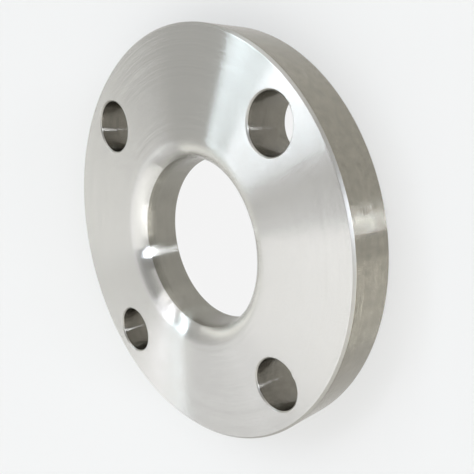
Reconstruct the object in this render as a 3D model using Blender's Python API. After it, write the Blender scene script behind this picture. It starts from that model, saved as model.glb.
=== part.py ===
# Slip-on pipe flange of the loose, flat-faced kind: one ring turned from solid stainless steel.
# One end of its bore has a large rounded corner, which clears the flare of the pipe's end,
# and bolt holes are drilled through its two flat faces.
#
# Units are metres. +Z is the bore's axis, towards the rounded corner. The flange lies on its
# back face, and the origin is the middle of the bore on that face.

import math

import bmesh
import bpy
from mathutils import Matrix, Vector

# The pipe and the bolts that the flange is made for
PIPE_DIAMETER = 0.0603
PIPE_CLEARANCE = 0.0019  # more than the pipe, on the diameter
BOLT_DIAMETER = 0.015875
BOLT_CLEARANCE = 0.003175  # more than the bolt, on the diameter
BOLT_COUNT = 4

# The ring
BOLT_CIRCLE_DIAMETER = 0.1207
RIM_LAND = 0.005125  # steel left between a bolt hole and the rim
THICKNESS = 0.018

# Its corners and edges
LAP_RADIUS = 0.008  # the rounded corner of the bore
RIM_CHAMFER = 0.00075
BORE_CHAMFER = 0.0005  # at the back end of the bore
HOLE_CHAMFER = 0.0005  # at both ends of each bolt hole

# Fineness of the round surfaces
RING_SEGMENTS = 96
LAP_SEGMENTS = 8
HOLE_SEGMENTS = 32
SHARP_ANGLE = math.radians(20)

# The drill passes each face by this much
DRILL_OVERRUN = 0.002

# Finish of the turned steel
STEEL_COLOR = (0.62, 0.60, 0.57, 1.0)
STEEL_ROUGHNESS = 0.28

BORE_RADIUS = (PIPE_DIAMETER + PIPE_CLEARANCE) / 2
HOLE_RADIUS = (BOLT_DIAMETER + BOLT_CLEARANCE) / 2
BOLT_CIRCLE_RADIUS = BOLT_CIRCLE_DIAMETER / 2
OUTER_RADIUS = BOLT_CIRCLE_RADIUS + HOLE_RADIUS + RIM_LAND


def clear_scene():
    for obj in list(bpy.data.objects):
        bpy.data.objects.remove(obj)


def turned_steel():
    """Bright stainless steel, as it leaves the lathe."""
    material = bpy.data.materials.new("turned_steel")
    material.use_nodes = True
    shader = material.node_tree.nodes["Principled BSDF"]
    shader.inputs["Base Color"].default_value = STEEL_COLOR
    shader.inputs["Metallic"].default_value = 1.0
    shader.inputs["Roughness"].default_value = STEEL_ROUGHNESS
    return material


def arc(centre, radius, start, end, segments):
    """Points on an arc in the section plane, as (distance from the axis, height)."""
    points = []
    for step in range(segments + 1):
        angle = start + (end - start) * step / segments
        points.append((centre[0] + radius * math.cos(angle), centre[1] + radius * math.sin(angle)))
    return points


def ring_section():
    """The turned section: down the rim, in along the back face, up the bore and out again."""
    rim = [
        (OUTER_RADIUS - RIM_CHAMFER, THICKNESS),
        (OUTER_RADIUS, THICKNESS - RIM_CHAMFER),
        (OUTER_RADIUS, RIM_CHAMFER),
        (OUTER_RADIUS - RIM_CHAMFER, 0.0),
    ]
    bore_back = [
        (BORE_RADIUS + BORE_CHAMFER, 0.0),
        (BORE_RADIUS, BORE_CHAMFER),
    ]
    lap_centre = (BORE_RADIUS + LAP_RADIUS, THICKNESS - LAP_RADIUS)
    lap_corner = arc(lap_centre, LAP_RADIUS, math.pi, math.pi / 2, LAP_SEGMENTS)
    return rim + bore_back + lap_corner


def drill_section():
    """Half of the drill's outline, from axis to axis: plain, with a 45 degree flare past each face."""
    flare = HOLE_RADIUS + HOLE_CHAMFER + DRILL_OVERRUN
    return [
        (0.0, THICKNESS + DRILL_OVERRUN),
        (flare, THICKNESS + DRILL_OVERRUN),
        (HOLE_RADIUS, THICKNESS - HOLE_CHAMFER),
        (HOLE_RADIUS, HOLE_CHAMFER),
        (flare, -DRILL_OVERRUN),
        (0.0, -DRILL_OVERRUN),
    ]


def turned(name, section, closed, segments):
    """An object made by turning a section round the Z axis. A closed section returns to its start."""
    shape = bmesh.new()
    points = [shape.verts.new((radius, 0.0, height)) for radius, height in section]
    edges = [shape.edges.new(pair) for pair in zip(points, points[1:])]
    if closed:
        edges.append(shape.edges.new((points[-1], points[0])))
    bmesh.ops.spin(
        shape,
        geom=points + edges,
        cent=Vector(),
        axis=Vector((0.0, 0.0, 1.0)),
        angle=2 * math.pi,
        steps=segments,
        use_merge=True,
    )
    bmesh.ops.remove_doubles(shape, verts=shape.verts, dist=1e-6)
    bmesh.ops.recalc_face_normals(shape, faces=shape.faces)
    mesh = bpy.data.meshes.new(name)
    shape.to_mesh(mesh)
    shape.free()
    obj = bpy.data.objects.new(name, mesh)
    bpy.context.scene.collection.objects.link(obj)
    return obj


def bolt_places():
    """A place for each bolt hole. The holes straddle the centre lines, as flanges have them."""
    pitch = 2 * math.pi / BOLT_COUNT
    for index in range(BOLT_COUNT):
        turn = Matrix.Rotation(pitch * (index + 0.5), 4, "Z")
        yield turn @ Matrix.Translation((BOLT_CIRCLE_RADIUS, 0.0, 0.0))


def drill_bolt_holes(ring):
    """Cuts each bolt hole with its edge chamfers, and takes the drills away."""
    drills = []
    for place in bolt_places():
        drill = turned("drill", drill_section(), False, HOLE_SEGMENTS)
        drill.matrix_world = place
        drill.display_type = "WIRE"
        drill.hide_render = True
        cut = ring.modifiers.new("bolt_hole", "BOOLEAN")
        cut.operation = "DIFFERENCE"
        cut.solver = "EXACT"
        cut.object = drill
        drills.append(drill)
    graph = bpy.context.evaluated_depsgraph_get()
    drilled = bpy.data.meshes.new_from_object(ring.evaluated_get(graph))
    ring.modifiers.clear()
    ring.data = drilled
    for drill in drills:
        bpy.data.objects.remove(drill)


def flange():
    ring = turned("flange", ring_section(), True, RING_SEGMENTS)
    ring.data.materials.append(turned_steel())
    drill_bolt_holes(ring)
    ring.data.name = "flange"
    ring.data.shade_smooth()
    ring.data.set_sharp_from_angle(angle=SHARP_ANGLE)
    return ring


clear_scene()
flange()
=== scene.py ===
import math

import bmesh
import bpy
from mathutils import Euler, Matrix, Vector


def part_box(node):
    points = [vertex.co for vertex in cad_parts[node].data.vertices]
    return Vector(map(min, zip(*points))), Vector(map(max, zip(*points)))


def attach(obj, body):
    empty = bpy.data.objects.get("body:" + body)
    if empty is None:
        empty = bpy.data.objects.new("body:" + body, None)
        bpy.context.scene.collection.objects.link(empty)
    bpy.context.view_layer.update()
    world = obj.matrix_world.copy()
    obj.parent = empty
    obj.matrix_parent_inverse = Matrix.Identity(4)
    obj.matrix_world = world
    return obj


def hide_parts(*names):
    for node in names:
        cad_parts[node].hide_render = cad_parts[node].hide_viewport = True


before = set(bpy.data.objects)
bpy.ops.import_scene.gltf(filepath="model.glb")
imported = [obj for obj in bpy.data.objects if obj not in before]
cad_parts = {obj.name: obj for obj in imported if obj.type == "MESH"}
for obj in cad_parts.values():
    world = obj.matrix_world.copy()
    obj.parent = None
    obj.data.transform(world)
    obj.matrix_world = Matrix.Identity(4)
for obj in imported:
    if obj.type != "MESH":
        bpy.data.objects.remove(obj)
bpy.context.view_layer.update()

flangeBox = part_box("flange")
mm = 0.001


class Graph:  # a material's or the world's nodes
    def __init__(self, tree):
        self.tree = tree
        tree.nodes.clear()

    def node(self, kind, settings=None, values=None, output=0):
        made = self.tree.nodes.new("ShaderNode" + kind)
        for name, value in (settings or {}).items():
            setattr(made, name, value)
        for name, value in (values or {}).items():
            if isinstance(value, Socket):
                self.tree.links.new(value.end, made.inputs[name])
            else:
                made.inputs[name].default_value = value
        return Socket(self, made.outputs[output]) if made.outputs else made


class Socket:  # a node's output, which can stand in a sum: each operator adds a Math node
    def __init__(self, graph, end):
        self.graph = graph
        self.end = end

    def out(self, name):  # another output of the same node
        return Socket(self.graph, self.end.node.outputs[name])

    def math(self, operation, *values):
        return self.graph.node("Math", {"operation": operation}, dict(enumerate(values)))

    def __add__(self, other):
        return self.math("ADD", self, other)

    def __radd__(self, other):
        return self.math("ADD", other, self)

    def __sub__(self, other):
        return self.math("SUBTRACT", self, other)

    def __rsub__(self, other):
        return self.math("SUBTRACT", other, self)

    def __mul__(self, other):
        return self.math("MULTIPLY", self, other)

    def __rmul__(self, other):
        return self.math("MULTIPLY", other, self)

    def __truediv__(self, other):
        return self.math("DIVIDE", self, other)

    def __rtruediv__(self, other):
        return self.math("DIVIDE", other, self)

    def __pow__(self, other):
        return self.math("POWER", self, other)

    def __rpow__(self, other):
        return self.math("POWER", other, self)


def newMaterial(name):
    material = bpy.data.materials.new(name)
    material.use_nodes = True
    return material, Graph(material.node_tree)


# Camera: the photo's, from a fit to the flange's edges in it, with a shifted frame

camera = {
    "place": (168.55 * mm, 44.64 * mm, 147.64 * mm),
    "turn": (-19.43, 43.98, -2.16),  # degrees
    "lens": 44.09,
    "sensor": 36,
    "shift": (-0.0696, 0.1435),
    "clipStart": 1 * mm,
}


def makeCamera():
    data = bpy.data.cameras.new("camera")
    data.lens = camera["lens"]
    data.sensor_width = camera["sensor"]
    data.shift_x, data.shift_y = camera["shift"]
    data.clip_start = camera["clipStart"]
    made = bpy.data.objects.new("camera", data)
    made.location = camera["place"]
    made.rotation_euler = Euler([math.radians(a) for a in camera["turn"]])
    bpy.context.collection.objects.link(made)
    bpy.context.scene.camera = made
    print("camera placed")


# Flange: a turned ring, then four drilled holes

flangeShape = {
    "bore": 62.2 * mm,
    "lapRadius": 8 * mm,  # the rounded bore corner
    "boltCircle": 120.7 * mm,
    "boltHole": 19.05 * mm,
    "boltHoles": 4,
    "rimChamfer": 0.75 * mm,
    "boreChamfer": 0.5 * mm,
    "holeChamfer": 0.5 * mm,
    "edgeSoftness": 0.2 * mm,  # radius where two machined faces meet
    "ringSegments": 384,
    "holeSegments": 96,
    "arcStep": 5,  # degrees a facet turns on the bore corner
    "edgeStep": 15,  # and on the small edge radii
    "ringSpacing": 3 * mm,
    "ringMargin": 0.25 * mm,
    "ringLeastRun": 1 * mm,  # shorter straight runs get no rings
    "holeLip": 0.35 * mm,  # radius where a hole's chamfer meets the face
    "drillBeyond": 2 * mm,  # how far the cutter runs on past that lip
    "drillFlare": 10,  # degrees it rises there
    "sharpFrom": 30,  # degrees between two faces from which their edge is sharp
}


def roundedPath(corners, closed):
    # Corners are (radius, height, fillet radius, step in degrees).
    # The path runs straight between the fillets, and each fillet has at least two facets.
    path = []
    count = len(corners)
    for i, (x, z, fillet, step) in enumerate(corners):
        here = Vector((x, z))
        if fillet == 0 or (not closed and i in (0, count - 1)):
            path.append(here)
            continue
        before = (here - Vector(corners[i - 1][:2])).normalized()
        after = (Vector(corners[(i + 1) % count][:2]) - here).normalized()
        turn = before.angle_signed(after)  # clockwise is positive
        reach = fillet * math.tan(abs(turn) / 2)
        side = Vector((before.y, -before.x)) * math.copysign(1, turn)
        start = here - before * reach
        centre = start + side * fillet
        spoke = start - centre
        parts = max(2, math.ceil(abs(math.degrees(turn)) / step))
        for k in range(parts + 1):
            angle = -turn * k / parts
            path.append(centre + Matrix.Rotation(angle, 2) @ spoke)
    return path


def withRings(path, closed):
    # Long straight runs get a ring close to each end, which keeps their shading flat, and more between.
    spacing, margin = flangeShape["ringSpacing"], flangeShape["ringMargin"]
    out = []
    for i, here in enumerate(path):
        out.append(here)
        if i == len(path) - 1 and not closed:
            break
        there = path[(i + 1) % len(path)]
        run = (there - here).length
        if run < flangeShape["ringLeastRun"]:
            continue
        between = run - 2 * margin
        parts = max(1, round(between / spacing))
        for k in range(parts + 1):
            along = margin + between * k / parts
            out.append(here.lerp(there, along / run))
    return out


def turned(name, path, segments, closed, centre=(0, 0)):
    # Turns a path of (radius, height) points about the vertical axis through centre.
    mesh = bpy.data.meshes.new(name)
    bm = bmesh.new()
    rows = []
    for k in range(segments):
        angle = 2 * math.pi * k / segments
        x, y = math.cos(angle), math.sin(angle)
        places = [(centre[0] + p.x * x, centre[1] + p.x * y, p.y) for p in path]
        rows.append([bm.verts.new(place) for place in places])
    for k in range(segments):
        row, following = rows[k], rows[(k + 1) % segments]
        for i in range(len(path) if closed else len(path) - 1):
            j = (i + 1) % len(path)
            bm.faces.new((row[i], row[j], following[j], following[i]))
    if not closed:
        bm.faces.new([row[0] for row in rows])
        bm.faces.new([row[-1] for row in reversed(rows)])
    bmesh.ops.recalc_face_normals(bm, faces=bm.faces)
    bm.to_mesh(mesh)
    bm.free()
    made = bpy.data.objects.new(name, mesh)
    bpy.context.collection.objects.link(made)
    return made


def ringPath(outer, thick):
    shape = flangeShape
    inner = shape["bore"] / 2
    soft, step = shape["edgeSoftness"], shape["edgeStep"]
    rimBreak, backBreak = shape["rimChamfer"], shape["boreChamfer"]
    corners = [
        (inner, thick, shape["lapRadius"], shape["arcStep"]),
        (outer - rimBreak, thick, soft, step),
        (outer, thick - rimBreak, soft, step),
        (outer, rimBreak, soft, step),
        (outer - rimBreak, 0, soft, step),
        (inner + backBreak, 0, soft, step),
        (inner, backBreak, soft, step),
    ]
    return withRings(roundedPath(corners, True), True)


def drillPath(thick):
    # Past each chamfer the cutter flattens out and runs on beyond the face, which leaves a rounded lip.
    shape = flangeShape
    radius, chamfer = shape["boltHole"] / 2, shape["holeChamfer"]
    soft, step = shape["edgeSoftness"], shape["edgeStep"]
    lip, beyond = shape["holeLip"], shape["drillBeyond"]
    rise = beyond * math.tan(math.radians(shape["drillFlare"]))
    half = [
        (radius, thick - chamfer, soft, step),
        (radius + chamfer, thick, lip, step),
        (radius + chamfer + beyond, thick + rise, 0, step),
    ]
    mirrored = [(x, thick - z, fillet, turn) for x, z, fillet, turn in reversed(half)]
    return withRings(roundedPath(mirrored + half, False), False)


def boltPlaces():
    count = flangeShape["boltHoles"]
    radius = flangeShape["boltCircle"] / 2
    angles = [2 * math.pi * (k + 0.5) / count for k in range(count)]  # astride the centre lines
    return [Vector((radius * math.cos(a), radius * math.sin(a))) for a in angles]


def drillHoles(ring, thick):
    drills = [
        turned(f"drill_{k}", drillPath(thick), flangeShape["holeSegments"], False, place)
        for k, place in enumerate(boltPlaces())
    ]
    for drill in drills:
        cut = ring.modifiers.new("drill", "BOOLEAN")
        cut.operation = "DIFFERENCE"
        cut.solver = "EXACT"
        cut.object = drill
    applyModifiers(ring)
    for drill in drills:
        bpy.data.objects.remove(drill)


def applyModifiers(made):
    depsgraph = bpy.context.evaluated_depsgraph_get()
    mesh = bpy.data.meshes.new_from_object(made.evaluated_get(depsgraph))
    made.modifiers.clear()
    made.data = mesh


def shadeMachined(made):
    made.data.shade_smooth()
    made.data.set_sharp_from_angle(angle=math.radians(flangeShape["sharpFrom"]))
    even = made.modifiers.new("even", "WEIGHTED_NORMAL")
    even.keep_sharp = True
    even.weight = 100  # the largest faces decide
    applyModifiers(made)


turnedFace, rim, bore, drilled, brokenEdge = range(5)  # the finishes' places on the ring
boreEnd = 27  # degrees up the rounded corner where the bore's finish ends
boreReach = 1 * mm  # and how far out it may be
wallRise = 0.3  # a face whose normal rises less than this is a wall


def assignFinishes(made, outer, finishes):
    for finish in finishes:
        made.data.materials.append(finish)
    holeEdge = flangeShape["boltHole"] / 2 + flangeShape["holeChamfer"]
    rimEdge = outer - flangeShape["rimChamfer"]
    boreEdge = flangeShape["bore"] / 2 + boreReach
    boreRise = math.sin(math.radians(boreEnd))
    places = boltPlaces()
    for face in made.data.polygons:
        across = Vector(face.center[:2])
        radius, rise = across.length, abs(face.normal.z)
        if min((across - place).length for place in places) < holeEdge:
            finish = drilled if rise < wallRise else brokenEdge
        elif radius > rimEdge:
            finish = rim if rise < wallRise else brokenEdge
        elif radius < boreEdge and rise < boreRise:
            finish = bore
        else:
            finish = turnedFace
        face.material_index = finish


# Finishes: bright turned face, duller rim and bore, dark drilled walls and mid grey broken edges; the
# rim's, bore's and drilled walls' darkness is painted shade in their colours, and the rim's warm tint a
# painted reflection

turnedLook = {
    "colour": (0.66, 0.655, 0.628),
    "spread": 0.05,  # how far the marks and the mottle move the colour
    "roughness": 0.16,
    "grooveTilt": 0.75,  # how steeply the tool marks lean, as a slope
    "marks": 0.5,  # how much broad rings show in the colour
    "mottle": 0.5,  # and how much clouds do
    "mottleSize": 25 * mm,
    "dents": 0,  # depth of those clouds as a bump
    "anisotropy": 1.0,
}
rimPaintedShadeLook = {
    # painted shade: darker than the face's steel, and a painted reflection of warm surroundings in its
    # brown tint
    "colour": (0.303, 0.285, 0.235),
    "spread": 0.18,
    "roughness": 0.17,
    "grooveTilt": 1.2,
    "marks": 0.4,
    "mottle": 1.1,
    "mottleSize": 2.5 * mm,
    "dents": 0,
    "anisotropy": 1.0,
}
borePaintedShadeLook = {
    # painted shade: darker than the face's steel, and warmer
    "colour": (0.305, 0.294, 0.256),
    "spread": 0.12,
    "roughness": 0.18,
    "grooveTilt": 1.3,
    "marks": 0.6,
    "mottle": 0.8,
    "mottleSize": 6 * mm,
    "dents": 0.01 * mm,
    "anisotropy": 1.0,
}
drilledPaintedShadeLook = {
    # painted shade: darker than the face's steel, and warmer
    "colour": (0.25, 0.236, 0.2),
    "spread": 0.15,
    "roughness": 0.2,
    "grooveTilt": 1.2,
    "marks": 0.8,
    "mottle": 1.2,
    "mottleSize": 3 * mm,
    "dents": 0.05 * mm,
    "anisotropy": 1.0,
}
brokenEdgeLook = {
    "colour": (0.38, 0.37, 0.34),
    "spread": 0.08,
    "roughness": 0.36,
    "grooveTilt": 0.0,
    "marks": 0.3,
    "mottle": 0.8,
    "mottleSize": 3 * mm,
    "dents": 0.05 * mm,
    "anisotropy": 0.0,
}
groovePitch = 0.08 * mm
grooveDetail = 1  # octaves of noise
broadPitch = 3 * mm
broadDetail = 3
mottleDetail = 3
noiseMean = 0.5
roughnessChange = 0.03  # how far the rings and clouds move the roughness
grooveTurn = 0.25  # a quarter turn sets the wide blur across the grooves


def steelFinish(name, look, acrossHeight=False):
    material, graph = newMaterial(name)
    place = graph.node("TexCoord", output="Object")
    axes = graph.node("SeparateXYZ", values={0: place})
    x, y, z = axes, axes.out("Y"), axes.out("Z")
    # Tool marks run round the part's axis, by the radius on a face and by the height on a wall.
    # A drilled wall has an axis of its own, so its marks go by the height alone.
    across = z if acrossHeight else (x * x + y * y) ** 0.5 + z
    grooves = {"W": across / groovePitch, "Detail": grooveDetail}
    fine = graph.node("TexNoise", {"noise_dimensions": "1D"}, grooves)
    rings = {"W": across / broadPitch, "Detail": broadDetail}
    broad = graph.node("TexNoise", {"noise_dimensions": "1D"}, rings)
    clouds = {"Vector": place, "Scale": 1 / look["mottleSize"], "Detail": mottleDetail}
    mottle = graph.node("TexNoise", {"noise_dimensions": "3D"}, clouds)
    change = (broad - noiseMean) * look["marks"] + (mottle - noiseMean) * look["mottle"]
    deep = [c * (1 - look["spread"]) for c in look["colour"]]
    pale = [c * (1 + look["spread"]) for c in look["colour"]]
    both = {0: change + 0.5, 6: (*deep, 1), 7: (*pale, 1)}  # the factor and the two colours
    colour = graph.node("Mix", {"data_type": "RGBA"}, both, output=2)
    normal = graph.node("NewGeometry", output="Normal")
    if acrossHeight:
        lean = (0, 0, 1)
    else:  # across the marks: outwards on a face, along the axis on a wall
        around = graph.node("VectorMath", {"operation": "CROSS_PRODUCT"}, {0: (0, 0, 1), 1: place})
        lean = graph.node("VectorMath", {"operation": "CROSS_PRODUCT"}, {0: around, 1: normal})
        lean = graph.node("VectorMath", {"operation": "NORMALIZE"}, {0: lean})
    tilt = (fine - noiseMean) * (2 * look["grooveTilt"])
    leaning = graph.node("VectorMath", {"operation": "SCALE"}, {0: lean, "Scale": tilt})
    tilted = graph.node("VectorMath", {"operation": "ADD"}, {0: normal, 1: leaning})
    tilted = graph.node("VectorMath", {"operation": "NORMALIZE"}, {0: tilted})
    if look["dents"]:
        dented = {"Height": mottle, "Distance": look["dents"], "Normal": tilted}
        tilted = graph.node("Bump", values=dented)
    shader = graph.node(
        "BsdfPrincipled",
        values={
            "Base Color": colour,
            "Metallic": 1,
            "Roughness": change * roughnessChange + look["roughness"],
            "Anisotropic": look["anisotropy"],
            "Anisotropic Rotation": grooveTurn,
            "Normal": tilted,
        },
    )
    graph.node("OutputMaterial", values={"Surface": shader})
    return material


def makeFlange():
    low, high = flangeBox
    outer, thick = (high.x - low.x) / 2, high.z - low.z
    ring = turned("steel_flange", ringPath(outer, thick), flangeShape["ringSegments"], True)
    drillHoles(ring, thick)
    shadeMachined(ring)
    finishes = [
        steelFinish("turned steel", turnedLook),
        steelFinish("turned rim with painted shade", rimPaintedShadeLook),
        steelFinish("turned bore with painted shade", borePaintedShadeLook),
        steelFinish("drilled steel with painted shade", drilledPaintedShadeLook, True),
        steelFinish("broken edge", brokenEdgeLook),
    ]
    assignFinishes(ring, outer, finishes)
    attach(ring, "root")
    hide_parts("flange")
    print("flange turned and drilled:", len(ring.data.polygons), "faces")


# Floor: pale and matt, with a share of plain white to the camera, and plain white in the metal

floorLook = {
    "size": 5.0,
    "colour": (0.77, 0.77, 0.75),
    "whiteness": 0.4,  # share that shows plain white to the camera, and the rest keeps the shadow
    "level": 0.9,  # of that white, where 1 is full white
    "clearRadius": 73 * mm,  # under the flange it is white all through
    "drop": 0.05 * mm,  # how far it lies under the flange's back
}


def makeFloor():
    half = floorLook["size"] / 2
    mesh = bpy.data.meshes.new("floor")
    corners = [(-half, -half, 0), (half, -half, 0), (half, half, 0), (-half, half, 0)]
    mesh.from_pydata(corners, [], [(0, 1, 2, 3)])
    floor = bpy.data.objects.new("floor", mesh)
    floor.location.z = -floorLook["drop"]
    bpy.context.collection.objects.link(floor)
    material, graph = newMaterial("pale floor")
    direct = graph.node("LightPath", output="Is Camera Ray")
    mirrored = direct.out("Is Glossy Ray") + direct.out("Is Transmission Ray")
    place = graph.node("TexCoord", output="Object")
    reach = graph.node("VectorMath", {"operation": "LENGTH"}, {0: place}, output="Value")
    under = reach.math("LESS_THAN", reach, floorLook["clearRadius"])
    share = under * (1 - floorLook["whiteness"]) + floorLook["whiteness"]
    matt = graph.node("BsdfDiffuse", values={"Color": (*floorLook["colour"], 1)})
    glow = graph.node("Emission", values={"Color": (1, 1, 1, 1), "Strength": floorLook["level"]})
    both = graph.node("MixShader", values={0: direct * share + mirrored, 1: matt, 2: glow})
    graph.node("OutputMaterial", values={"Surface": both})
    mesh.materials.append(material)
    print("floor laid")


# Light: softboxes far round the flange and a plain surround, dimmer overhead and at one end

# A fit to the light on the photo's face gave these, since rounded and in part moved a little:
# the surround's level and overhead, the softboxes low and overhead, and the directions, sizes and rolls
# of the three panes and upper. The rest is given.
surround = {
    "level": 0.77,
    "overhead": -0.4,  # added straight up
    "colour": (1.0, 0.998, 0.975),
    "dimEnd": (34, 12),  # azimuth and elevation of the room's dimmer end
    "dimLevel": 0.6,  # what is left of the level there
    "dimReach": (28, 48),  # degrees off that direction where it is dimmest, and where it ends
}
lampDistance = 12.0  # far enough that both sides of the flange see a lamp in the same direction
lampTints = {
    "plain": (1.0, 1.0, 1.0),
    "glass": (0.86, 1.0, 1.1),
    "sky": (0.93, 1.0, 1.17),
    "blue": (1.0, 1.0, 1.12),
    "pale blue": (1.0, 1.0, 1.06),
    "warm": (1.0, 0.985, 0.93),
}
# A direction is azimuth and elevation in degrees, as a roll is.
# A size is width and height as shares of the distance.
softboxes = {
    "left pane": {
        "direction": (131.8, 38.4),
        "size": (0.088, 1.58),
        "roll": -52.8,
        "level": 4.6,
        "tint": "glass",
    },
    "middle pane": {
        "direction": (120, 51.1),
        "size": (0.085, 1.56),
        "roll": -58.6,
        "level": 2.5,
        "tint": "blue",
    },
    "right pane": {
        "direction": (102, 54),
        "size": (0.28, 1.1),
        "roll": -56,
        "level": 0.85,
        "tint": "pale blue",
    },
    "low": {
        "direction": (178, 12),
        "size": (1.68, 0.28),
        "roll": 6,
        "level": 0.85,
        "tint": "warm",
    },
    "overhead": {
        "direction": (287, 64),
        "size": (1.38, 0.8),
        "roll": -10,
        "level": 0.82,
        "tint": "plain",
    },
    "upper": {
        "direction": (205, 46.6),
        "size": (0.27, 0.5),
        "roll": 30,
        "level": 0.9,
        "tint": "pale blue",
    },
    "strip": {
        "direction": (13, 22),
        "size": (0.13, 0.5),
        "roll": 0,
        "level": 17,
        "tint": "sky",
    },
    "tube": {
        "direction": (8, 5),
        "size": (0.14, 0.15),
        "roll": 0,
        "level": 50,
        "tint": "sky",
    },
    "right panel": {
        "direction": (303.5, 28),
        "size": (2.26, 1.0),
        "roll": 0,
        "level": 0.5,
        "tint": "plain",
    },
    "low right panel": {
        "direction": (331, 3.6),
        "size": (0.77, 0.11),
        "roll": 0,
        "level": 14,
        "tint": "plain",
    },
    "edge panel": {
        "direction": (58, 32),
        "size": (0.75, 0.2),
        "roll": -8,
        "level": 1.1,
        "tint": "plain",
    },
    "left panel": {
        "direction": (85, 11),
        "size": (0.8, 0.36),
        "roll": 0,
        "level": 0.8,
        "tint": "plain",
    },
}


def towards(azimuth, elevation):  # the direction of a point in the room, from angles in degrees
    turn, rise = math.radians(azimuth), math.radians(elevation)
    return Vector((math.cos(rise) * math.cos(turn), math.cos(rise) * math.sin(turn), math.sin(rise)))


def makeSoftbox(name, box):
    azimuth, elevation = box["direction"]
    out = towards(azimuth, elevation)
    side = towards(azimuth + 90, 0)
    up = out.cross(side)
    roll = math.radians(box["roll"])
    across = side * math.cos(roll) + up * math.sin(roll)
    along = up * math.cos(roll) - side * math.sin(roll)
    lamp = bpy.data.lights.new(name, "AREA")
    lamp.shape = "RECTANGLE"
    lamp.size, lamp.size_y = (share * lampDistance for share in box["size"])
    lamp.energy = box["level"] * math.pi * lamp.size * lamp.size_y  # then it looks as bright as its level
    lamp.color = lampTints[box["tint"]]
    made = bpy.data.objects.new(name, lamp)
    facing = Matrix((across, along, out)).transposed().to_4x4()
    made.matrix_world = Matrix.Translation(out * lampDistance) @ facing
    bpy.context.collection.objects.link(made)


def makeSurround():
    world = bpy.data.worlds.new("studio")
    world.use_nodes = True
    bpy.context.scene.world = world
    graph = Graph(world.node_tree)
    direction = graph.node("TexCoord", output="Generated")
    height = graph.node("SeparateXYZ", values={0: direction}, output="Z")
    level = height.math("MAXIMUM", height, 0) * surround["overhead"] + surround["level"]
    both = {0: direction, 1: towards(*surround["dimEnd"])}
    near = graph.node("VectorMath", {"operation": "DOT_PRODUCT"}, both, output="Value")
    inner, outer = (math.cos(math.radians(a)) for a in surround["dimReach"])
    reach = {"Value": near, "From Min": outer, "From Max": inner}
    dim = graph.node("MapRange", {"interpolation_type": "SMOOTHSTEP"}, reach)
    level = level * (1 - dim * (1 - surround["dimLevel"]))
    glow = graph.node("Background", values={"Color": (*surround["colour"], 1), "Strength": level})
    graph.node("OutputWorld", values={"Surface": glow})


makeCamera()
makeFlange()
makeFloor()
for name, box in softboxes.items():
    makeSoftbox(name, box)
makeSurround()
print("lit")

bpy.context.scene.view_settings.view_transform = "Standard"
